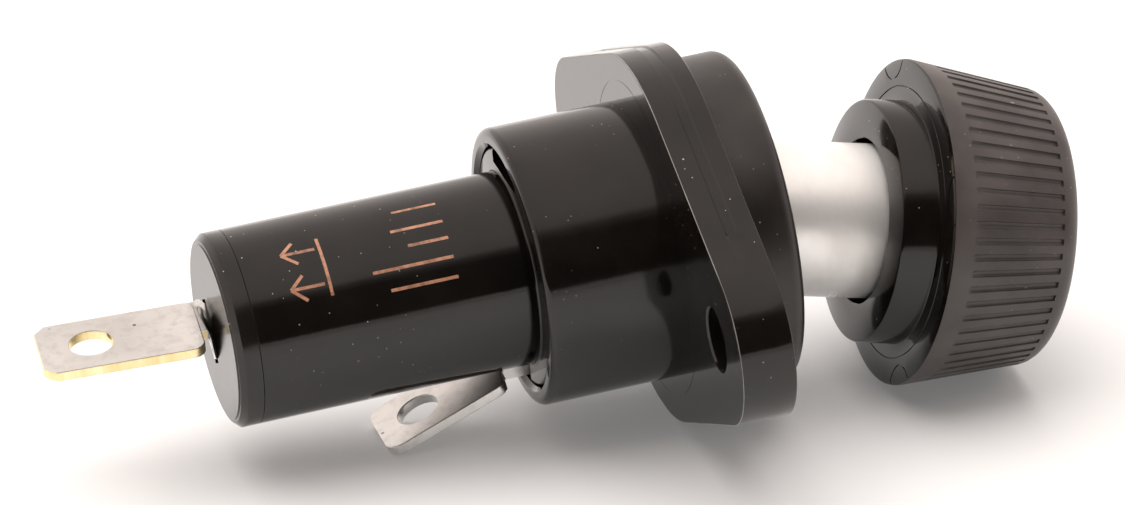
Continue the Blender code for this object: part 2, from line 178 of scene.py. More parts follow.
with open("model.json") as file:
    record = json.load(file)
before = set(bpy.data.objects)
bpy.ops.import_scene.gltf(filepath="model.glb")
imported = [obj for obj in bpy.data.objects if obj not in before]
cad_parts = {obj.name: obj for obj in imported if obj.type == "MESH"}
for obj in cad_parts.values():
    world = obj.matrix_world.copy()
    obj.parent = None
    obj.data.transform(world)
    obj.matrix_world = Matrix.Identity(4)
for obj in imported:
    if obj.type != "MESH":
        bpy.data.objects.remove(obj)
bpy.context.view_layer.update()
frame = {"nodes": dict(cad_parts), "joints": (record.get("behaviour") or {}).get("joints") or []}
joints = {joint["name"]: joint for joint in frame["joints"]}
crossing = Vector(joints["knob_twist"]["pos_m"])
along = Vector(joints["knob_twist"]["axis"]).normalized()
carrier_up = along.cross(Vector((0, 1, 0)))
CARRIER = Matrix.Translation(crossing) @ Matrix(
    [(along[i], (0, 1, 0)[i], carrier_up[i]) for i in range(3)]
).to_4x4()


# ---------------------------------------------------------------- materials


class Nodes:
    """Short calls for building one material's node tree."""

    def __init__(self, name):
        self.material = bpy.data.materials.new(name)
        self.material.use_nodes = True
        self.tree = self.material.node_tree
        self.shader = self.tree.nodes["Principled BSDF"]
        self.place = self.tree.nodes.new("ShaderNodeTexCoord").outputs["Object"]

    def link(self, output, target):
        self.tree.links.new(output, target)

    def stretched(self, scale, turn=0.0):
        node = self.tree.nodes.new("ShaderNodeMapping")
        node.inputs["Scale"].default_value = scale
        node.inputs["Rotation"].default_value = (0, turn, 0)
        self.link(self.place, node.inputs["Vector"])
        return node.outputs["Vector"]

    def noise(self, scale, detail=3.0, rough=0.5, vector=None):
        node = self.tree.nodes.new("ShaderNodeTexNoise")
        node.inputs["Scale"].default_value = scale
        node.inputs["Detail"].default_value = detail
        node.inputs["Roughness"].default_value = rough
        self.link(vector or self.place, node.inputs["Vector"])
        return node.outputs["Fac"]

    def specks(self, scale, radius, vector=None):
        """1 inside small round spots, one to a cell, and 0 elsewhere."""
        node = self.tree.nodes.new("ShaderNodeTexVoronoi")
        node.inputs["Scale"].default_value = scale
        self.link(vector or self.place, node.inputs["Vector"])
        return self.ramp(node.outputs["Distance"], radius, radius * 1.4, 1.0, 0.0)

    def ramp(self, value, low, high, at_low=0.0, at_high=1.0):
        node = self.tree.nodes.new("ShaderNodeMapRange")
        for socket, number in zip(("From Min", "From Max", "To Min", "To Max"), (low, high, at_low, at_high)):
            node.inputs[socket].default_value = number
        self.link(value, node.inputs["Value"])
        return node.outputs["Result"]

    def maths(self, operation, a, b):
        node = self.tree.nodes.new("ShaderNodeMath")
        node.operation = operation
        for socket, value in zip(node.inputs, (a, b)):
            if isinstance(value, (int, float)):
                socket.default_value = value
            else:
                self.link(value, socket)
        return node.outputs["Value"]

    def mix(self, share, a, b):
        node = self.tree.nodes.new("ShaderNodeMix")
        node.data_type = "RGBA"
        self.link(share, node.inputs[0])
        for socket, value in ((node.inputs[6], a), (node.inputs[7], b)):
            if isinstance(value, tuple):
                socket.default_value = (*value, 1.0)
            else:
                self.link(value, socket)
        return node.outputs[2]

    def bump(self, height, strength, distance):
        node = self.tree.nodes.new("ShaderNodeBump")
        node.inputs["Strength"].default_value = strength
        node.inputs["Distance"].default_value = distance
        self.link(height, node.inputs["Height"])
        self.link(node.outputs["Normal"], self.shader.inputs["Normal"])

    def colour(self, output):
        self.link(output, self.shader.inputs["Base Color"])

    def roughness(self, output):
        self.link(output, self.shader.inputs["Roughness"])


def phenolic(name, dark, light, smooth_at, rough_at, dust):
    """Black thermoset: deep gloss with a faint moulded ripple, dust specks and worn patches in the gloss."""
    n = Nodes(name)
    n.shader.inputs["IOR"].default_value = 1.5
    mottle = n.noise(260.0, 4.0)
    body = n.mix(n.ramp(mottle, 0.35, 0.7), dark, light)
    clusters = n.ramp(n.noise(90.0, 2.0), 0.42, 0.62)
    dots = n.maths("MULTIPLY", n.specks(1200.0, 0.055), clusters)
    big_dots = n.maths("MULTIPLY", n.specks(420.0, 0.03), n.ramp(n.noise(140.0, 2.0), 0.52, 0.6))
    fibres = n.specks(300.0, 0.022, n.stretched((0.35, 1.0, 1.0), 0.7))
    dirt = n.maths("MAXIMUM", n.maths("MAXIMUM", dots, big_dots), fibres)
    dirt = n.maths("MULTIPLY", dirt, 0.8 * dust)
    n.colour(n.mix(dirt, body, (0.38, 0.35, 0.32)))
    wear = n.ramp(n.noise(55.0, 5.0, 0.6), 0.3, 0.75, smooth_at, rough_at)
    n.roughness(n.maths("ADD", wear, n.maths("MULTIPLY", dirt, 0.6)))
    fine_ripple = n.maths("MULTIPLY", n.noise(900.0, 2.0), 0.35)
    ripple = n.maths("ADD", fine_ripple, n.noise(170.0, 2.0))
    n.bump(n.maths("ADD", ripple, n.maths("MULTIPLY", dirt, 1.2)), 0.1, 0.00012)
    return n.material


def plated(name, light, dark, low, high, scratch=0.25, smudge=60.0):
    """Bright plate with tarnish, smudges that change the gloss, and fine drawing marks."""
    n = Nodes(name)
    n.shader.inputs["Metallic"].default_value = 1.0
    blotch = n.ramp(n.noise(smudge, 5.0, 0.62), 0.38, 0.68)
    spots = n.maths("MULTIPLY", n.specks(620.0, 0.07), n.ramp(n.noise(120.0, 2.0), 0.48, 0.6))
    grain = n.maths("MULTIPLY", n.ramp(n.noise(1100.0, 4.0, 0.65), 0.48, 0.66), 0.4)
    tarnish = n.mix(grain, n.mix(blotch, light, dark), tuple(0.72 * c for c in dark))
    n.colour(n.mix(spots, tarnish, tuple(0.35 * c for c in dark)))
    fine = n.noise(1500.0, 3.0, 0.6, n.stretched((0.16, 1.0, 1.0)))
    n.roughness(n.maths("ADD", n.ramp(blotch, 0.0, 1.0, low, high), n.maths("MULTIPLY", spots, 0.3)))
    waves = n.maths("MULTIPLY", n.noise(240.0), 0.6)
    n.bump(n.maths("ADD", n.maths("MULTIPLY", fine, scratch), waves), 0.16, 0.00008)
    return n.material


def sleeve_nickel():
    """Dull-bright nickel with soft wipe marks along it and fine turned rings."""
    n = Nodes("polished_nickel")
    n.shader.inputs["Metallic"].default_value = 0.55
    wipes = n.ramp(n.noise(210.0, 4.0, 0.6, n.stretched((1.0, 0.45, 0.45))), 0.36, 0.66)
    n.colour(n.mix(wipes, (0.97, 0.955, 0.935), (0.84, 0.82, 0.79)))
    n.roughness(n.ramp(wipes, 0.0, 1.0, 0.26, 0.42))
    rings = n.noise(1700.0, 2.0, 0.5, n.stretched((1.0, 0.05, 0.05)))
    n.bump(n.maths("ADD", rings, n.maths("MULTIPLY", n.noise(230.0), 1.1)), 0.09, 0.00008)
    return n.material


def cut_brass():
    """The sheared edge of a brass strip: gold, with shear streaks across its thickness."""
    n = Nodes("sheared_brass")
    n.shader.inputs["Metallic"].default_value = 1.0
    streaks = n.noise(900.0, 4.0, 0.65, n.stretched((1.0, 1.0, 0.2)))
    grime = n.maths("MULTIPLY", n.specks(420.0, 0.12), n.ramp(n.noise(200.0), 0.5, 0.6))
    gold = n.mix(n.ramp(streaks, 0.35, 0.7), (1.0, 0.88, 0.55), (0.92, 0.74, 0.38))
    n.colour(n.mix(grime, gold, (0.12, 0.08, 0.04)))
    n.roughness(n.ramp(streaks, 0.3, 0.7, 0.32, 0.5))
    n.bump(streaks, 0.25, 0.0001)
    return n.material


def ink():
    """Copper-coloured stamped ink, thin in places."""
    n = Nodes("copper_ink")
    worn = n.ramp(n.noise(1300.0, 4.0, 0.7), 0.42, 0.66)
    n.colour(n.mix(worn, (0.4, 0.19, 0.11), (0.15, 0.075, 0.05)))
    n.roughness(n.ramp(worn, 0.0, 1.0, 0.38, 0.55))
    n.bump(worn, 0.2, 0.00005)
    return n.material


def floor_material():
    """White card, lit a little from within so that it stays clean white behind the object."""
    n = Nodes("white_card")
    grain = n.noise(14.0, 3.0)
    n.colour(n.mix(n.ramp(grain, 0.3, 0.7), (0.6, 0.595, 0.59), (0.62, 0.615, 0.61)))
    n.roughness(n.ramp(n.noise(200.0), 0.3, 0.7, 0.8, 0.95))
    n.shader.inputs["Emission Color"].default_value = (1.0, 0.995, 0.99, 1.0)
    n.shader.inputs["Emission Strength"].default_value = 0.14
    return n.material


# ------------------------------------------------------------------- meshes


def rounded(corners, steps=5):
    """A closed loop from (x, radius, fillet) corners, each fillet cut short where its sides are short."""
    points = []
    count = len(corners)
    for i, (x, r, fillet) in enumerate(corners):
        here = Vector((x, r))
        back = Vector(corners[i - 1][:2]) - here
        ahead = Vector(corners[(i + 1) % count][:2]) - here
        if not fillet or back.length < 1e-6 or ahead.length < 1e-6:
            points.append((x, r))
            continue
        half = back.angle(ahead) / 2
        if half > pi / 2 - 0.02:
            points.append((x, r))
            continue
        reach = min(fillet / abs(sin(half) / cos(half)), back.length * 0.48, ahead.length * 0.48)
        size = reach * abs(sin(half) / cos(half))
        centre = here + (back.normalized() + ahead.normalized()).normalized() * (size / sin(half))
        first = here + back.normalized() * reach - centre
        last = here + ahead.normalized() * reach - centre
        sweep = first.angle_signed(last)
        start = atan2(first.y, first.x)
        for j in range(steps + 1):
            a = start - sweep * j / steps
            points.append((centre.x + size * cos(a), centre.y + size * sin(a)))
    return points


def turned(corners, steps, centre=(0.0, 0.0), fillet_steps=5):
    """A solid turned about X from (x, radius, fillet) corners, closed where it meets the axis."""
    shape = bmesh.new()
    loop = rounded(corners, fillet_steps)
    rings = []
    for x, r in loop:
        if r < 1e-6:
            rings.append([shape.verts.new((x, *centre))] * steps)
        else:
            turns = [tau * i / steps for i in range(steps)]
            places = [(centre[0] + r * sin(a), centre[1] + r * cos(a)) for a in turns]
            rings.append([shape.verts.new((x, y, z)) for y, z in places])
    for low, high in zip(rings, rings[1:] + rings[:1]):
        if low[0] is low[1] and high[0] is high[1]:
            continue
        for i in range(steps):
            j = (i + 1) % steps
            corners_here = []
            for vert in (low[i], low[j], high[j], high[i]):
                if vert not in corners_here:
                    corners_here.append(vert)
            shape.faces.new(corners_here)
    return shape


def rod(rear, front, radius, steps):
    return turned([(rear, 0, 0), (front, 0, 0), (front, radius, 0), (rear, radius, 0)], steps)


def lofted(shape, rings):
    """Joins each ring of vertices to the next and closes both ends."""
    for low, high in zip(rings, rings[1:]):
        for i in range(len(low)):
            j = (i + 1) % len(low)
            shape.faces.new((low[i], low[j], high[j], high[i]))
    shape.faces.new(rings[0])
    shape.faces.new(list(reversed(rings[-1])))
    return shape


def box(low, high):
    shape = bmesh.new()
    bmesh.ops.create_cube(shape, size=1.0)
    for vert in shape.verts:
        vert.co = [low[i] if vert.co[i] < 0 else high[i] for i in range(3)]
    return shape


def prism(outline, low, high, point):
    """A flat outline pushed from low to high. point(u, v, w) puts it in space, w being the push."""
    shape = bmesh.new()
    base = [shape.verts.new(point(u, v, low)) for u, v in outline]
    top = [shape.verts.new(point(u, v, high)) for u, v in outline]
    shape.faces.new(base)
    shape.faces.new(list(reversed(top)))
    for i in range(len(base)):
        j = (i + 1) % len(base)
        shape.faces.new((base[j], base[i], top[i], top[j]))
    return shape


def arc(centre, radius, start, end, steps):
    return [
        (centre[0] + radius * cos(start + (end - start) * i / steps),
         centre[1] + radius * sin(start + (end - start) * i / steps))
        for i in range(steps + 1)
    ]


def mesh_from(shape, name):
    bmesh.ops.scale(shape, vec=(MM, MM, MM), verts=shape.verts)
    bmesh.ops.recalc_face_normals(shape, faces=shape.faces)
    mesh = bpy.data.meshes.new(name)
    shape.to_mesh(mesh)
    shape.free()
    return mesh


def make(name, shape, *looks):
    """An object from a bmesh in millimetres."""
    thing = bpy.data.objects.new(name, mesh_from(shape, name))
    bpy.context.scene.collection.objects.link(thing)
    for look in looks:
        thing.data.materials.append(look)
    return thing


def bake_modifiers(thing):
    bpy.context.view_layer.update()
    graph = bpy.context.evaluated_depsgraph_get()
    mesh = bpy.data.meshes.new_from_object(thing.evaluated_get(graph))
    thing.modifiers.clear()
    thing.data = mesh


def combine(thing, operation, *shapes):
    """Exact Booleans with each shape, applied."""
    helpers = []
    for shape in shapes:
        helper = bpy.data.objects.new("helper", mesh_from(shape, "helper"))
        bpy.context.scene.collection.objects.link(helper)
        step = thing.modifiers.new("step", "BOOLEAN")
        step.operation = operation
        step.solver = "EXACT"
        step.object = helper
        helpers.append(helper)
    bake_modifiers(thing)
    for helper in helpers:
        bpy.data.objects.remove(helper)


def smooth(thing, angle=32.0, weighted=True):
    thing.data.shade_smooth()
    thing.data.set_sharp_from_angle(angle=radians(angle))
    if weighted:
        step = thing.modifiers.new("normals", "WEIGHTED_NORMAL")
        step.keep_sharp = True
        step.weight = 60


def bevelled(thing, width, segments=3, angle=40.0):
    step = thing.modifiers.new("edges", "BEVEL")
    step.width = width * MM
    step.segments = segments
    step.limit_method = "ANGLE"
    step.angle_limit = radians(angle)
    step.use_clamp_overlap = True
    bake_modifiers(thing)


def second_look(thing, picks, which=1):
    """Gives another of the piece's materials to the faces that the test picks."""
    for face in thing.data.polygons:
        if picks(face.center / MM, face.normal):
            face.material_index = which


def settle(thing, body, slot, *nodes, on_carrier=False):
    """Puts a finished piece on its body and hides the CAD nodes that it stands for."""
    if on_carrier:
        thing.data.transform(CARRIER)
    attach(thing, body)
    if nodes:
        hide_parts(*nodes)


def in_slot(shape):
    """Turns a shape made about the axis into the line of the end cap's slot."""
    bmesh.ops.rotate(shape, cent=(0, 0, 0), matrix=Matrix.Rotation(SLOT_TILT, 3, "X"), verts=shape.verts)
    bmesh.ops.translate(shape, vec=(0, *SLOT_CENTRE), verts=shape.verts)
    return shape


# --------------------------------------------------------------------- body


def end_cap(look):
    cap = make("end_cap_moulding", turned([
        (CAP_REAR, 0, 0), (SPIGOT_FRONT, 0, 0), (SPIGOT_FRONT, SPIGOT_R, 0.1), (CAP_JOINT, SPIGOT_R, 0),
        (CAP_JOINT, BARREL_R, 0.05), (CAP_REAR + 0.55, BARREL_R, 0.1), (CAP_REAR + 0.1, BARREL_R - 0.42, 0.1),
        (CAP_REAR + 0.1, BARREL_R - 0.62, 0.04), (CAP_REAR, BARREL_R - 0.7, 0.04),
    ], 160), look)
    half_length = REAR_NECK_WIDTH / 2 + 0.3
    slot = box((CAP_REAR - 1, -half_length, -0.6), (SPIGOT_FRONT + 1, half_length, 0.6))
    combine(cap, "DIFFERENCE", in_slot(slot))
    smooth(cap)
    settle(cap, "holder", "black_phenolic", "end_cap")


def barrel(look):
    front_of_joint = CAP_JOINT + 0.02
    made = make("barrel_moulding", turned([
        (front_of_joint, BORE_R, 0.04), (HEAD_FLOOR, BORE_R, 0.1), (HEAD_FLOOR, HEAD_BORE_R, 0),
        (LIP_REAR, HEAD_BORE_R, 0), (LIP_REAR, LIP_R, 0.1),
        (LIP_FRONT, LIP_R, 0.1), (LIP_FRONT, HEAD_BORE_R, 0),
        (HEAD_FRONT, HEAD_BORE_R, 0.1), (HEAD_FRONT, HEAD_R, 0.1), (HEAD_REAR, HEAD_R, 0.25),
        (HEAD_REAR, BARREL_R, 0.2), (front_of_joint, BARREL_R, 0.05),
    ], 192), look)
    combine(
        made, "DIFFERENCE",
        box((LIP_REAR - 0.1, -7.3, -KEYWAY_HALF), (LIP_FRONT + 0.1, 7.3, KEYWAY_HALF)),
        box(
            (HEAD_REAR - 1, -LOW_POCKET_HALF, LOW_POCKET[0]),
            (HEAD_FRONT + 1, LOW_POCKET_HALF, LOW_POCKET[1]),
        ),
        box(
            (HEAD_REAR - 1, -TOP_POCKET_HALF, BARREL_R + 0.1),
            (HEAD_REAR + TOP_POCKET_DEPTH, TOP_POCKET_HALF, POCKET_TOP),
        ),
    )
    smooth(made)
    settle(made, "holder", "black_phenolic", "barrel")


def flange_outline():
    """Outline points at zero inset as (centre, direction, radius, share of the recessed band)."""
    lean = asin((FLANGE_R - EAR_R) / EAR_Y)
    quarter = pi / 2
    sides = (
        ((0, 0), FLANGE_R, quarter - lean, quarter + lean, 30),
        ((-EAR_Y, 0), EAR_R, quarter + lean, 3 * quarter - lean, 40),
        ((0, 0), FLANGE_R, 3 * quarter - lean, 3 * quarter + lean, 30),
        ((EAR_Y, 0), EAR_R, lean - quarter, quarter - lean, 40),
    )
    points = []
    straight_steps = 14
    for k, (centre, radius, start, end, steps) in enumerate(sides):
        here = [(centre, start + (end - start) * i / steps, radius) for i in range(steps + 1)]
        nearer_centre = radius == FLANGE_R
        points += [(c, a, r, 1.0 if nearer_centre else 0.0) for c, a, r in here]
        after = sides[(k + 1) % 4]
        for i in range(1, straight_steps):
            share = i / straight_steps
            along_flat = share if nearer_centre else 1 - share
            band = 1.0 if along_flat < BAND_STOP else max(0.0, 1 - (along_flat - BAND_STOP) / 0.06)
            c = (centre[0] + (after[0][0] - centre[0]) * share, 0)
            points.append((c, end, radius + (after[1] - radius) * share, band))
    return points


def flange():
    """The flange lofted through its outline at each depth, with rounded edges and the shallow band."""
    steps = [radians(a) for a in (0, 30, 60, 90)]
    corner = [(FLANGE_EDGE * (1 - cos(a)), FLANGE_EDGE * (1 - sin(a)), 0) for a in steps]
    rows = corner + [
        (BAND_REAR, 0, 0), (BAND_REAR + BAND_EDGE, 0, 1), (BAND_FRONT - BAND_EDGE, 0, 1), (BAND_FRONT, 0, 0),
    ]
    rows += [(FLANGE_FRONT - x, inset, band) for x, inset, band in reversed(corner)]
    shape = bmesh.new()
    outline = flange_outline()
    rings = []
    for x, inset, band in rows:
        ring = []
        for centre, angle, radius, share in outline:
            r = radius - inset - band * share * BAND_DEPTH
            ring.append(shape.verts.new((x, centre[0] + r * cos(angle), centre[1] + r * sin(angle))))
        rings.append(ring)
    return lofted(shape, rings)


def front_housing(look, disc_look, edge_wear_and_highlight_look):
    housing = make("front_housing_moulding", flange(), look, disc_look, edge_wear_and_highlight_look)
    collar = turned([
        (COLLAR_REAR, 0, 0), (1.0, 0, 0), (1.0, COLLAR_R, 0), (0.06, COLLAR_R, 0), (-0.25, COLLAR_R, 0.3),
        (COLLAR_REAR, COLLAR_R, 0.55),
    ], 160)
    disc = turned([
        (2.0, 0, 0), (DISC_FRONT, 0, 0), (DISC_FRONT, DISC_R, 1.0), (2.0, DISC_R, 0),
    ], 192, fillet_steps=8)
    combine(housing, "UNION", collar, disc)
    line_profile = ((-1, -0.07), (0.02, -0.03), (0.02, 0.03), (-1, 0.07))
    groove = turned([(x, RING_LINE_R + off, 0) for x, off in line_profile], 160)
    bore = turned([
        (COLLAR_REAR - 1, 0, 0), (DISC_FRONT + 1, 0, 0), (DISC_FRONT + 1, MOUTH_R + 1.35, 0),
        (DISC_FRONT, MOUTH_R + 0.35, 0), (DISC_FRONT - 0.35, MOUTH_R, 0.1),
        (MOUTH_FLOOR, MOUTH_R, 0.15), (MOUTH_FLOOR, HEAD_BORE_R, 0.1), (SOCKET_FLOOR, HEAD_BORE_R, 0.05),
        (SOCKET_FLOOR, SOCKET_R, 0.05), (COLLAR_REAR + 0.35, SOCKET_R, 0.1), (COLLAR_REAR, SOCKET_R + 0.3, 0),
        (COLLAR_REAR - 1, SOCKET_R + 0.3, 0),
    ], 160)
    wide = SCREW_HOLE_R + HOLE_CHAMFER
    holes = [
        turned([
            (-1, 0, 0), (FLANGE_FRONT + 1, 0, 0), (FLANGE_FRONT + 1, wide, 0), (FLANGE_FRONT, wide, 0),
            (FLANGE_FRONT - HOLE_CHAMFER, SCREW_HOLE_R, 0), (HOLE_CHAMFER, SCREW_HOLE_R, 0),
            (0, wide, 0), (-1, wide, 0),
        ], 64, (side * EAR_Y, 0))
        for side in (-1, 1)
    ]
    combine(housing, "DIFFERENCE", bore, groove, *holes)
    second_look(housing, lambda at, normal: at.x > FLANGE_FRONT + 0.02)
    # The bevel faces along the flange's rear edge, clear of the collar and the screw holes, take the lighter
    # third material: a painted highlight along that edge, partly real flash and wear.
    second_look(housing, lambda at, normal: (
        0.01 < at.x < 0.09 and at.yz.length > COLLAR_R + 0.3 and -0.97 < normal.x < -0.3
        and Vector((abs(at.y) - EAR_Y, at.z)).length > SCREW_HOLE_R + 0.5
    ), 2)
    smooth(housing)
    settle(housing, "holder", "black_phenolic", "front_housing")


# ---------------------------------------------------------------- terminals


def twisted_neck(start, end, steps):
    """The neck from the blade, where it lies flat, to the slot, where it stands at the slot's tilt."""
    half, thin, across = REAR_NECK_WIDTH / 2, TAB_THICK / 2 - 0.05, 6
    first_centre = (REAR_NECK_SIDE, TAB_THICK / 2 + REAR_TAB_LIFT + REAR_NECK_SIDE * sin(REAR_TAB_ROLL))
    section = [(-half + 2 * half * i / across, -thin) for i in range(across + 1)]
    section += [(s, thin) for s, _ in reversed(section)]
    shape = bmesh.new()
    rings = []
    for i in range(steps + 1):
        share = max(0.0, (i - 1) / (steps - 1))
        late = max(0.0, (share - TWIST_START) / (1 - TWIST_START))
        eased = late * late * (3 - 2 * late)
        angle = REAR_TAB_ROLL + (SLOT_TILT - REAR_TAB_ROLL) * eased
        y0 = first_centre[0] + (SLOT_CENTRE[0] - first_centre[0]) * eased
        z0 = first_centre[1] + (SLOT_CENTRE[1] - first_centre[1]) * eased
        x = start + (end - start) * share if i else start - 0.35
        rings.append([
            shape.verts.new((x, y0 + s * cos(angle) - t * sin(angle), z0 + s * sin(angle) + t * cos(angle)))
            for s, t in section
        ])
    return lofted(shape, rings)


def blade_point(u, v, w):
    across = v * cos(REAR_TAB_ROLL) - w * sin(REAR_TAB_ROLL)
    return (
        REAR_TAB_ROOT[0] + u * cos(REAR_TAB_YAW) + across * sin(REAR_TAB_YAW),
        REAR_TAB_ROOT[1] + across * cos(REAR_TAB_YAW) - u * sin(REAR_TAB_YAW),
        REAR_TAB_LIFT + v * sin(REAR_TAB_ROLL) + w * cos(REAR_TAB_ROLL),
    )


def tab_hole(u, point):
    return prism(arc((u, 0), TAB_HOLE_R, 0, tau * 63 / 64, 63), -1, 2, point)


def rear_terminal(look, edge_look):
    half, corner = TAB_WIDTH / 2, REAR_TAB_CORNER
    side = [(-REAR_TAB_LENGTH, -half + TAB_CHAMFER), (-REAR_TAB_LENGTH + TAB_CHAMFER, -half)]
    side += arc((-corner, -half + corner), corner, 1.5 * pi, tau, 10)
    outline = side + [(u, -v) for u, v in reversed(side)]
    blade = make("rear_blade_terminal", prism(outline, 0, TAB_THICK, blade_point), look, edge_look)
    combine(blade, "DIFFERENCE", tab_hole(REAR_HOLE_FROM_TIP - REAR_TAB_LENGTH, blade_point))
    bevelled(blade, TAB_BEVEL)
    neck_half = REAR_NECK_WIDTH / 2 - 0.01
    through = box((CAP_REAR - 0.05, -neck_half, -FOOT_HALF_THICK), (FOOT_FRONT, neck_half, FOOT_HALF_THICK))
    combine(blade, "UNION", twisted_neck(REAR_TAB_ROOT[0] - 0.15, CAP_REAR, 25), in_slot(through))
    root = REAR_TAB_ROOT[0]
    second_look(blade, lambda at, normal: at.x < root + 0.3 and abs(normal.z) < 0.55)
    smooth(blade, 40)
    settle(blade, "holder", "tinned_brass", "rear_terminal")


def lean_point(u, v, w):
    return (
        NECK_END + u * cos(SIDE_TAB_DROP) + w * sin(SIDE_TAB_DROP),
        v,
        NECK_TOP + u * sin(SIDE_TAB_DROP) - w * cos(SIDE_TAB_DROP),
    )


def side_terminal(look):
    half, neck, corner = TAB_WIDTH / 2, NECK_WIDTH / 2, SIDE_TAB_CORNER
    side = arc((-SIDE_TAB_LENGTH + corner, -half + corner), corner, pi, 1.5 * pi, 10)
    side += [(-1.2, -half), (-0.8, -half + 0.1), (-0.5, -half + 0.38)]
    side += [(-0.35, -neck - 0.3), (-0.3, -neck), (0.2, -neck)]
    outline = side + [(u, -v) for u, v in reversed(side)]
    tab = make("side_blade_terminal", prism(outline, 0, TAB_THICK, lean_point), look)
    combine(tab, "DIFFERENCE", tab_hole(SIDE_HOLE_FROM_TIP - SIDE_TAB_LENGTH, lean_point))
    bevelled(tab, TAB_BEVEL)
    strip = box((NECK_END - 0.1, -neck, NECK_TOP - TAB_THICK), (SIDE_NECK_FRONT, neck, NECK_TOP))
    combine(tab, "UNION", strip)
    smooth(tab, 40)
    settle(tab, "holder", "tinned_brass", "side_terminal")


# ------------------------------------------------------------------ carrier


def contact_sleeve(look):
    sleeve = make("sleeve_shell", turned([
        (SLEEVE_TIP, SLEEVE_BORE_R, 0.08), (SLEEVE_END, SLEEVE_BORE_R, 0), (SLEEVE_END, SLEEVE_R, 0.05),
        (SLEEVE_TIP + 0.9, SLEEVE_R, 0), (SLEEVE_TIP, SLEEVE_R - 0.12, 0.1),
    ], 160), look)
    lug = rod(-8, 8, LUG_PIN_R + 0.08, 32)
    bmesh.ops.rotate(lug, cent=(0, 0, 0), matrix=Matrix.Rotation(pi / 2, 3, "Z"), verts=lug.verts)
    bmesh.ops.translate(lug, vec=(SLEEVE_TIP + 0.6, 0, 0), verts=lug.verts)
    combine(sleeve, "DIFFERENCE", lug)
    smooth(sleeve)
    settle(sleeve, "carrier", "bright_nickel", "contact_sleeve", on_carrier=True)


def grip_radius(x):
    return SKIRT_R - (SKIRT_R - KNOB_FRONT_R) / (KNOB_FRONT - SKIRT_REAR) * (x - SKIRT_REAR)


def groove_depth(x, across):
    """How far the grip is cut in at this place: a round-bottomed groove with a round rear end."""
    half = GROOVE_WIDTH / 2
    if x < GROOVES_START or x > GROOVES_END:
        return 0.0
    to_end = GROOVES_START + half - x
    here = sqrt(max(half * half - to_end * to_end, 0.0)) if to_end > 0 else half
    if abs(across) >= here:
        return 0.0
    return GROOVE_DEPTH * sqrt(1 - (across / here) ** 2) * (here / half)


def knob_rings():
    """(x, radius) from the boss face over the skirt and grip to the front face, before the grooves."""
    half = GROOVE_WIDTH / 2
    skirt_start = SKIRT_REAR + 0.35
    rings = [
        (BOSS_FACE, BOSS_BORE_R + 0.2), (BOSS_FACE, BOSS_R - 0.25), (BOSS_FACE + 0.08, BOSS_R - 0.08),
        (BOSS_FACE + 0.25, BOSS_R), (SKIRT_REAR - 0.15, BOSS_R), (SKIRT_REAR - 0.04, BOSS_R + 0.04),
        (SKIRT_REAR, BOSS_R + 0.15), (SKIRT_REAR, FACE_LINE_R - 0.06),
        (SKIRT_REAR + 0.08, FACE_LINE_R - 0.02), (SKIRT_REAR + 0.08, FACE_LINE_R + 0.02),
        (SKIRT_REAR, FACE_LINE_R + 0.06), (SKIRT_REAR, SKIRT_R - 0.35), (SKIRT_REAR + 0.1, SKIRT_R - 0.1),
        (skirt_start, grip_radius(skirt_start)), (GROOVES_START - 0.1, grip_radius(GROOVES_START - 0.1)),
    ]
    xs = [GROOVES_START + half * (1 - cos(radians(a))) for a in (0, 25, 45, 65, 90)]
    xs += [GROOVES_START + 1.2, 16.5, 18.5, GROOVES_END - 0.02, GROOVES_END + 0.02]
    rings += [(x, grip_radius(x)) for x in xs]
    round_start = KNOB_FRONT - KNOB_EDGE
    base = grip_radius(round_start) - 0.02
    turns = [radians(a) for a in (12, 25, 38, 50, 62, 74, 84, 90)]
    rings += [(round_start + KNOB_EDGE * sin(a), base - KNOB_EDGE * (1 - cos(a))) for a in turns]
    face_edge = base - KNOB_EDGE
    return rings + [(KNOB_FRONT - 0.06, face_edge - 1.2), (KNOB_FRONT - 0.25, face_edge - 1.5)]


def rim_mark(turn):
    """A cutter for one shallow round line, mostly off the skirt's rear rim."""
    rear, floor = SKIRT_REAR - 1, SKIRT_REAR + MARK_DEPTH
    profile = ((rear, -0.17), (floor, -0.12), (floor, 0.0), (rear, 0.05))
    centre = (MARK_CENTRE_R * sin(turn), MARK_CENTRE_R * cos(turn))
    return turned([(x, MARK_R + off, 0) for x, off in profile], 64, centre)


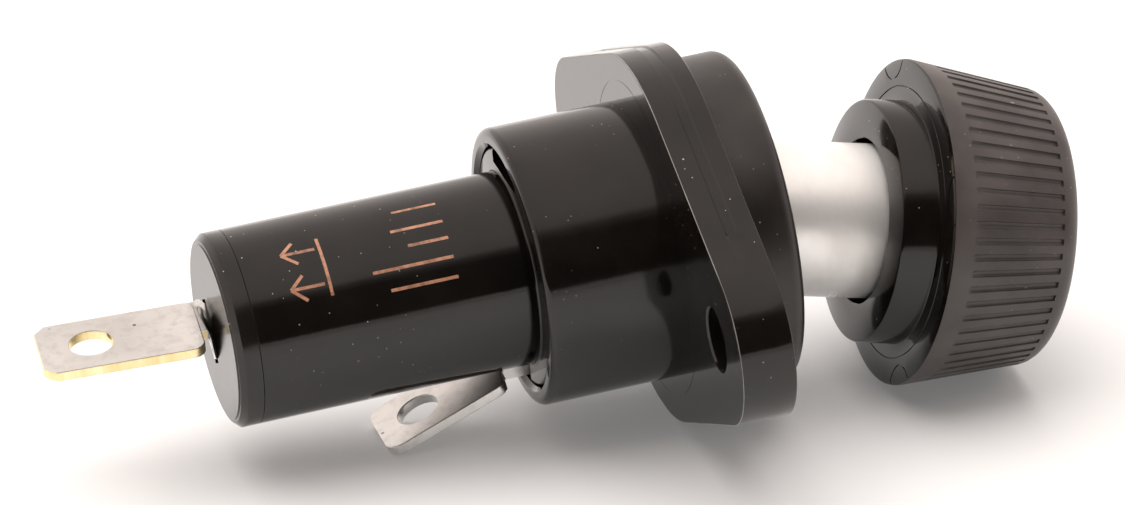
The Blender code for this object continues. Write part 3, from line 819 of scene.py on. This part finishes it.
def knob(look, grip_look):
    half = GROOVE_WIDTH / 2
    cut = (-1.0, -0.8, -0.45, 0.0, 0.45, 0.8, 1.0)
    land = tau * (SKIRT_R - 1.0) / GROOVES / half - 2
    fractions = cut + tuple(1 + land * share for share in (0.05, 0.35, 0.65, 0.95))
    shape = bmesh.new()
    rows = []
    for x, radius in knob_rings():
        row = []
        for i in range(GROOVES):
            for share in fractions:
                across = share * half
                turn = tau * i / GROOVES + across / (SKIRT_R - 1.0)
                r = radius - groove_depth(x, across)
                row.append(shape.verts.new((x, r * sin(turn), r * cos(turn))))
        rows.append(row)
    made = make("knob_moulding", lofted(shape, rows), look, grip_look)
    marks = [rim_mark(MARK_TURN + quarter * pi / 2) for quarter in range(4)]
    bore = turned([
        (BOSS_FACE - 1, 0, 0), (CAVITY_END, 0, 0), (CAVITY_END, BOSS_BORE_R, 0.2),
        (BOSS_FACE + 0.05, BOSS_BORE_R, 0), (BOSS_FACE - 0.05, BOSS_BORE_R + 0.1, 0),
        (BOSS_FACE - 1, BOSS_BORE_R + 0.1, 0),
    ], 128)
    combine(made, "DIFFERENCE", bore, rod(CAVITY_END - 1, SCREW_BORE_END, SCREW_BORE_R, 32), *marks)
    if len(made.data.polygons) < 1000:
        raise RuntimeError("the knob's cuts left nothing of it")
    inner = KNOB_FRONT_R - KNOB_EDGE
    second_look(made, lambda at, normal: at.x > SKIRT_REAR + 0.12 and at.yz.length > inner)
    smooth(made, weighted=False)
    settle(made, "carrier", "black_phenolic", "knob", on_carrier=True)


def knob_spring(look):
    """The conical coil from the follower to the thrust washer, a little closer wound at its ends."""
    wire_r, around = SPRING_WIRE_R, 14
    count = SPRING_TURNS * 48
    shape = bmesh.new()
    rings = []
    for i in range(count + 1):
        share = i / count
        turn = tau * SPRING_TURNS * share
        mean = SPRING_REAR_R + (SPRING_FRONT_R - SPRING_REAR_R) * share
        eased = share - 0.05 * sin(tau * share)
        x = SPRING_REAR + wire_r + (SPRING_FRONT - SPRING_REAR - 2 * wire_r) * eased
        ring = []
        for j in range(around):
            a = tau * j / around
            r = mean + wire_r * cos(a)
            ring.append(shape.verts.new((x + wire_r * sin(a), r * cos(turn), r * sin(turn))))
        rings.append(ring)
    coil = make("knob_spring_coil", lofted(shape, rings), look)
    coil.data.transform(CARRIER)
    smooth(coil, 50, weighted=False)
    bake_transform(coil)
    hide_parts("knob_spring")


# -------------------------------------------------------------------- print


def on_barrel(x, turn):
    """A place on the barrel's skin. turn is the angle up from the near side."""
    r = BARREL_R + INK_HEIGHT
    return Vector((x, -r * cos(turn), r * sin(turn)))


def stroke(shape, start, end, width):
    """A straight line of ink laid on the barrel, from (x, turn) to (x, turn), a hair thick."""
    to = Vector(((end[0] - start[0]), (end[1] - start[1]) * BARREL_R))
    side = Vector((-to.y, to.x)).normalized() * width / 2
    steps = max(2, int(to.length / 0.25))
    rows = []
    for i in range(steps + 1):
        share = i / steps
        x = start[0] + (end[0] - start[0]) * share
        turn = start[1] + (end[1] - start[1]) * share
        row = []
        for sign in (-1, 1):
            point = on_barrel(x + sign * side.x, turn + sign * side.y / BARREL_R)
            inward = Vector((0, point.y, point.z)).normalized() * 0.03
            row += [shape.verts.new(point), shape.verts.new(point - inward)]
        rows.append(row)
    for a, b in zip(rows, rows[1:]):
        for i, j in ((0, 2), (2, 3), (3, 1), (1, 0)):
            shape.faces.new((a[i], a[j], b[j], b[i]))
    shape.faces.new((rows[0][0], rows[0][1], rows[0][3], rows[0][2]))
    shape.faces.new((rows[-1][0], rows[-1][2], rows[-1][3], rows[-1][1]))


def print_marks(look):
    """Two plain arrows to the line end, and plain bars where the ratings would be read."""
    arrows = bmesh.new()
    head = ARROW_HEAD / BARREL_R
    for turn in [radians(turn) for turn in ARROW_TURNS]:
        stroke(arrows, (ARROW_TIP, turn), (ARROW_TAIL, turn), INK_WIDTH)
        for side in (head, -head):
            stroke(arrows, (ARROW_TIP - 0.05, turn), (ARROW_TIP + 1.0, turn + side), INK_WIDTH)
    stroke(arrows, (CROSS_BAR_X, radians(72)), (CROSS_BAR_X, radians(34)), INK_WIDTH)
    settle(make("ink_arrows", arrows, look), "holder", None)
    bars = bmesh.new()
    for turn, rear, front in BARS:
        stroke(bars, (rear, radians(turn)), (front, radians(turn)), INK_WIDTH)
    settle(make("ink_bars", bars, look), "holder", None)


# -------------------------------------------------------------------- stage


def build_world():
    """A white room with one dark stretch low down on the near side, which gives gloss its dark band."""
    world = bpy.data.worlds.new("studio")
    bpy.context.scene.world = world
    world.use_nodes = True
    tree = world.node_tree
    place = tree.nodes.new("ShaderNodeTexCoord")
    split = tree.nodes.new("ShaderNodeSeparateXYZ")
    tree.links.new(place.outputs["Generated"], split.inputs[0])

    def ramp(value, stops):
        node = tree.nodes.new("ShaderNodeValToRGB")
        elements = node.color_ramp.elements
        elements[0].position, elements[1].position = stops[0][0], stops[-1][0]
        for at, _ in stops[1:-1]:
            elements.new(at)
        for element, (_, light) in zip(elements, stops):
            element.color = (light, light * 0.9, light * 0.85, 1)
        tree.links.new(value, node.inputs[0])
        return node.outputs["Color"]

    near = ramp(split.outputs["Z"], (
        (0.0, 1.0), (0.02, 0.9), (0.05, 0.03), (0.66, 0.04),
        (0.74, 0.25), (0.79, 0.82), (0.92, 0.95), (1.0, 1.05),
    ))
    around = ramp(split.outputs["Z"], ((0.0, 1.1), (0.35, 1.1), (0.7, 1.0), (1.0, 1.05)))
    to_near = tree.nodes.new("ShaderNodeMapRange")
    to_near.interpolation_type = "SMOOTHSTEP"
    to_near.inputs["From Min"].default_value = -0.25
    to_near.inputs["From Max"].default_value = -0.7
    tree.links.new(split.outputs["Y"], to_near.inputs["Value"])
    mix = tree.nodes.new("ShaderNodeMix")
    mix.data_type = "RGBA"
    tree.links.new(to_near.outputs["Result"], mix.inputs[0])
    tree.links.new(around, mix.inputs[6])
    tree.links.new(near, mix.inputs[7])
    background = tree.nodes["Background"]
    tree.links.new(mix.outputs[2], background.inputs["Color"])
    background.inputs["Strength"].default_value = 1.0


def build_floor():
    centre = Vector((FLOOR_POINT[0], 0, FLOOR_POINT[1]))
    slope = Vector((cos(FLOOR_TILT), 0, -sin(FLOOR_TILT)))
    shape = bmesh.new()
    sides = ((-1, -1), (1, -1), (1, 1), (-1, 1))
    corners = [centre + slope * u * FLOOR_HALF + Vector((0, v * FLOOR_HALF, 0)) for u, v in sides]
    shape.faces.new([shape.verts.new(corner) for corner in corners])
    bmesh.ops.subdivide_edges(shape, edges=shape.edges, cuts=8, use_grid_fill=True)
    floor = make("floor_card", shape, floor_material())
    if floor.data.polygons[0].normal.z < 0:
        floor.data.flip_normals()


def build_light():
    data = bpy.data.lights.new("key_softbox", "AREA")
    data.shape = "DISK"
    data.size = LIGHT_SIZE
    data.energy = LIGHT_WATTS
    data.color = (1.0, 0.97, 0.95)
    lamp = bpy.data.objects.new("key_softbox", data)
    bpy.context.scene.collection.objects.link(lamp)
    lamp.location = LIGHT_PLACE
    lamp.rotation_euler = (Vector((0, 0, 0)) - lamp.location).to_track_quat("-Z", "Y").to_euler()
    lamp.visible_glossy = False


def build_camera():
    right = VIEW_RIGHT.normalized()
    towards = right.cross(VIEW_UP).normalized()
    up = towards.cross(right)
    data = bpy.data.cameras.new("camera")
    data.lens = LENS
    data.sensor_width = SENSOR
    data.clip_start = 0.01
    data.clip_end = 20.0
    camera = bpy.data.objects.new("camera", data)
    bpy.context.scene.collection.objects.link(camera)
    aim = (right * VIEW_CENTRE[0] + up * VIEW_CENTRE[1]) * MM
    away = towards * (VIEW_WIDTH * MM * LENS / SENSOR)
    camera.matrix_world = Matrix.Translation(aim + away) @ Matrix(
        [(right[i], up[i], towards[i]) for i in range(3)]
    ).to_4x4()
    bpy.context.scene.camera = camera
    bpy.context.scene.view_settings.view_transform = "Standard"


# --------------------------------------------------------------------- main

black = phenolic("moulded_phenolic", (0.0035, 0.0028, 0.0024), (0.0075, 0.006, 0.005), 0.07, 0.14, 1.0)
disc_black = phenolic("disc_phenolic", (0.012, 0.01, 0.009), (0.024, 0.02, 0.018), 0.26, 0.42, 0.8)
cap_black = phenolic("cap_phenolic", (0.0045, 0.0037, 0.0032), (0.011, 0.009, 0.008), 0.13, 0.24, 1.2)
# Lighter phenolic for the flange's rear edge bevel: a painted highlight for the light line along that edge,
# partly real flash and wear.
edge_wear_and_highlight = phenolic("edge_wear_and_painted_highlight", (0.1, 0.092, 0.085), (0.3, 0.28, 0.26), 0.4, 0.6, 1.0)
grip_black = phenolic("handled_phenolic", (0.036, 0.029, 0.027), (0.066, 0.055, 0.051), 0.3, 0.46, 0.6)
tin = plated("tinned_strip", (0.9, 0.885, 0.86), (0.72, 0.7, 0.67), 0.22, 0.4)
gold_edge = cut_brass()
nickel = sleeve_nickel()
brass = plated("plain_brass", (0.86, 0.68, 0.36), (0.62, 0.45, 0.2), 0.2, 0.38)
zinc = plated("zinc_plate", (0.72, 0.73, 0.74), (0.5, 0.51, 0.53), 0.25, 0.42)
pin_nickel = plated("pin_nickel", (0.88, 0.86, 0.82), (0.66, 0.64, 0.6), 0.15, 0.3)

end_cap(cap_black)
barrel(black)
front_housing(black, disc_black, edge_wear_and_highlight)
rear_terminal(tin, gold_edge)
side_terminal(tin)
contact_sleeve(nickel)
knob(black, grip_black)
knob_spring(zinc)
print_marks(ink())

KEPT_NODES = {
    "rear_rivet": tin, "side_rivet": tin,
    "rear_contact_cup": brass, "side_contact_spring": brass, "keyed_mouth_ring": brass,
    "sleeve_plug": brass, "thrust_washer": brass, "fuse_follower": brass,
    "screw_lock_washer": zinc, "carrier_screw": zinc,
    "bayonet_pin_near": pin_nickel, "bayonet_pin_far": pin_nickel,
}
for node, look in KEPT_NODES.items():
    for place in frame["nodes"][node].material_slots:
        place.material = look

build_world()
build_floor()
build_light()
build_camera()
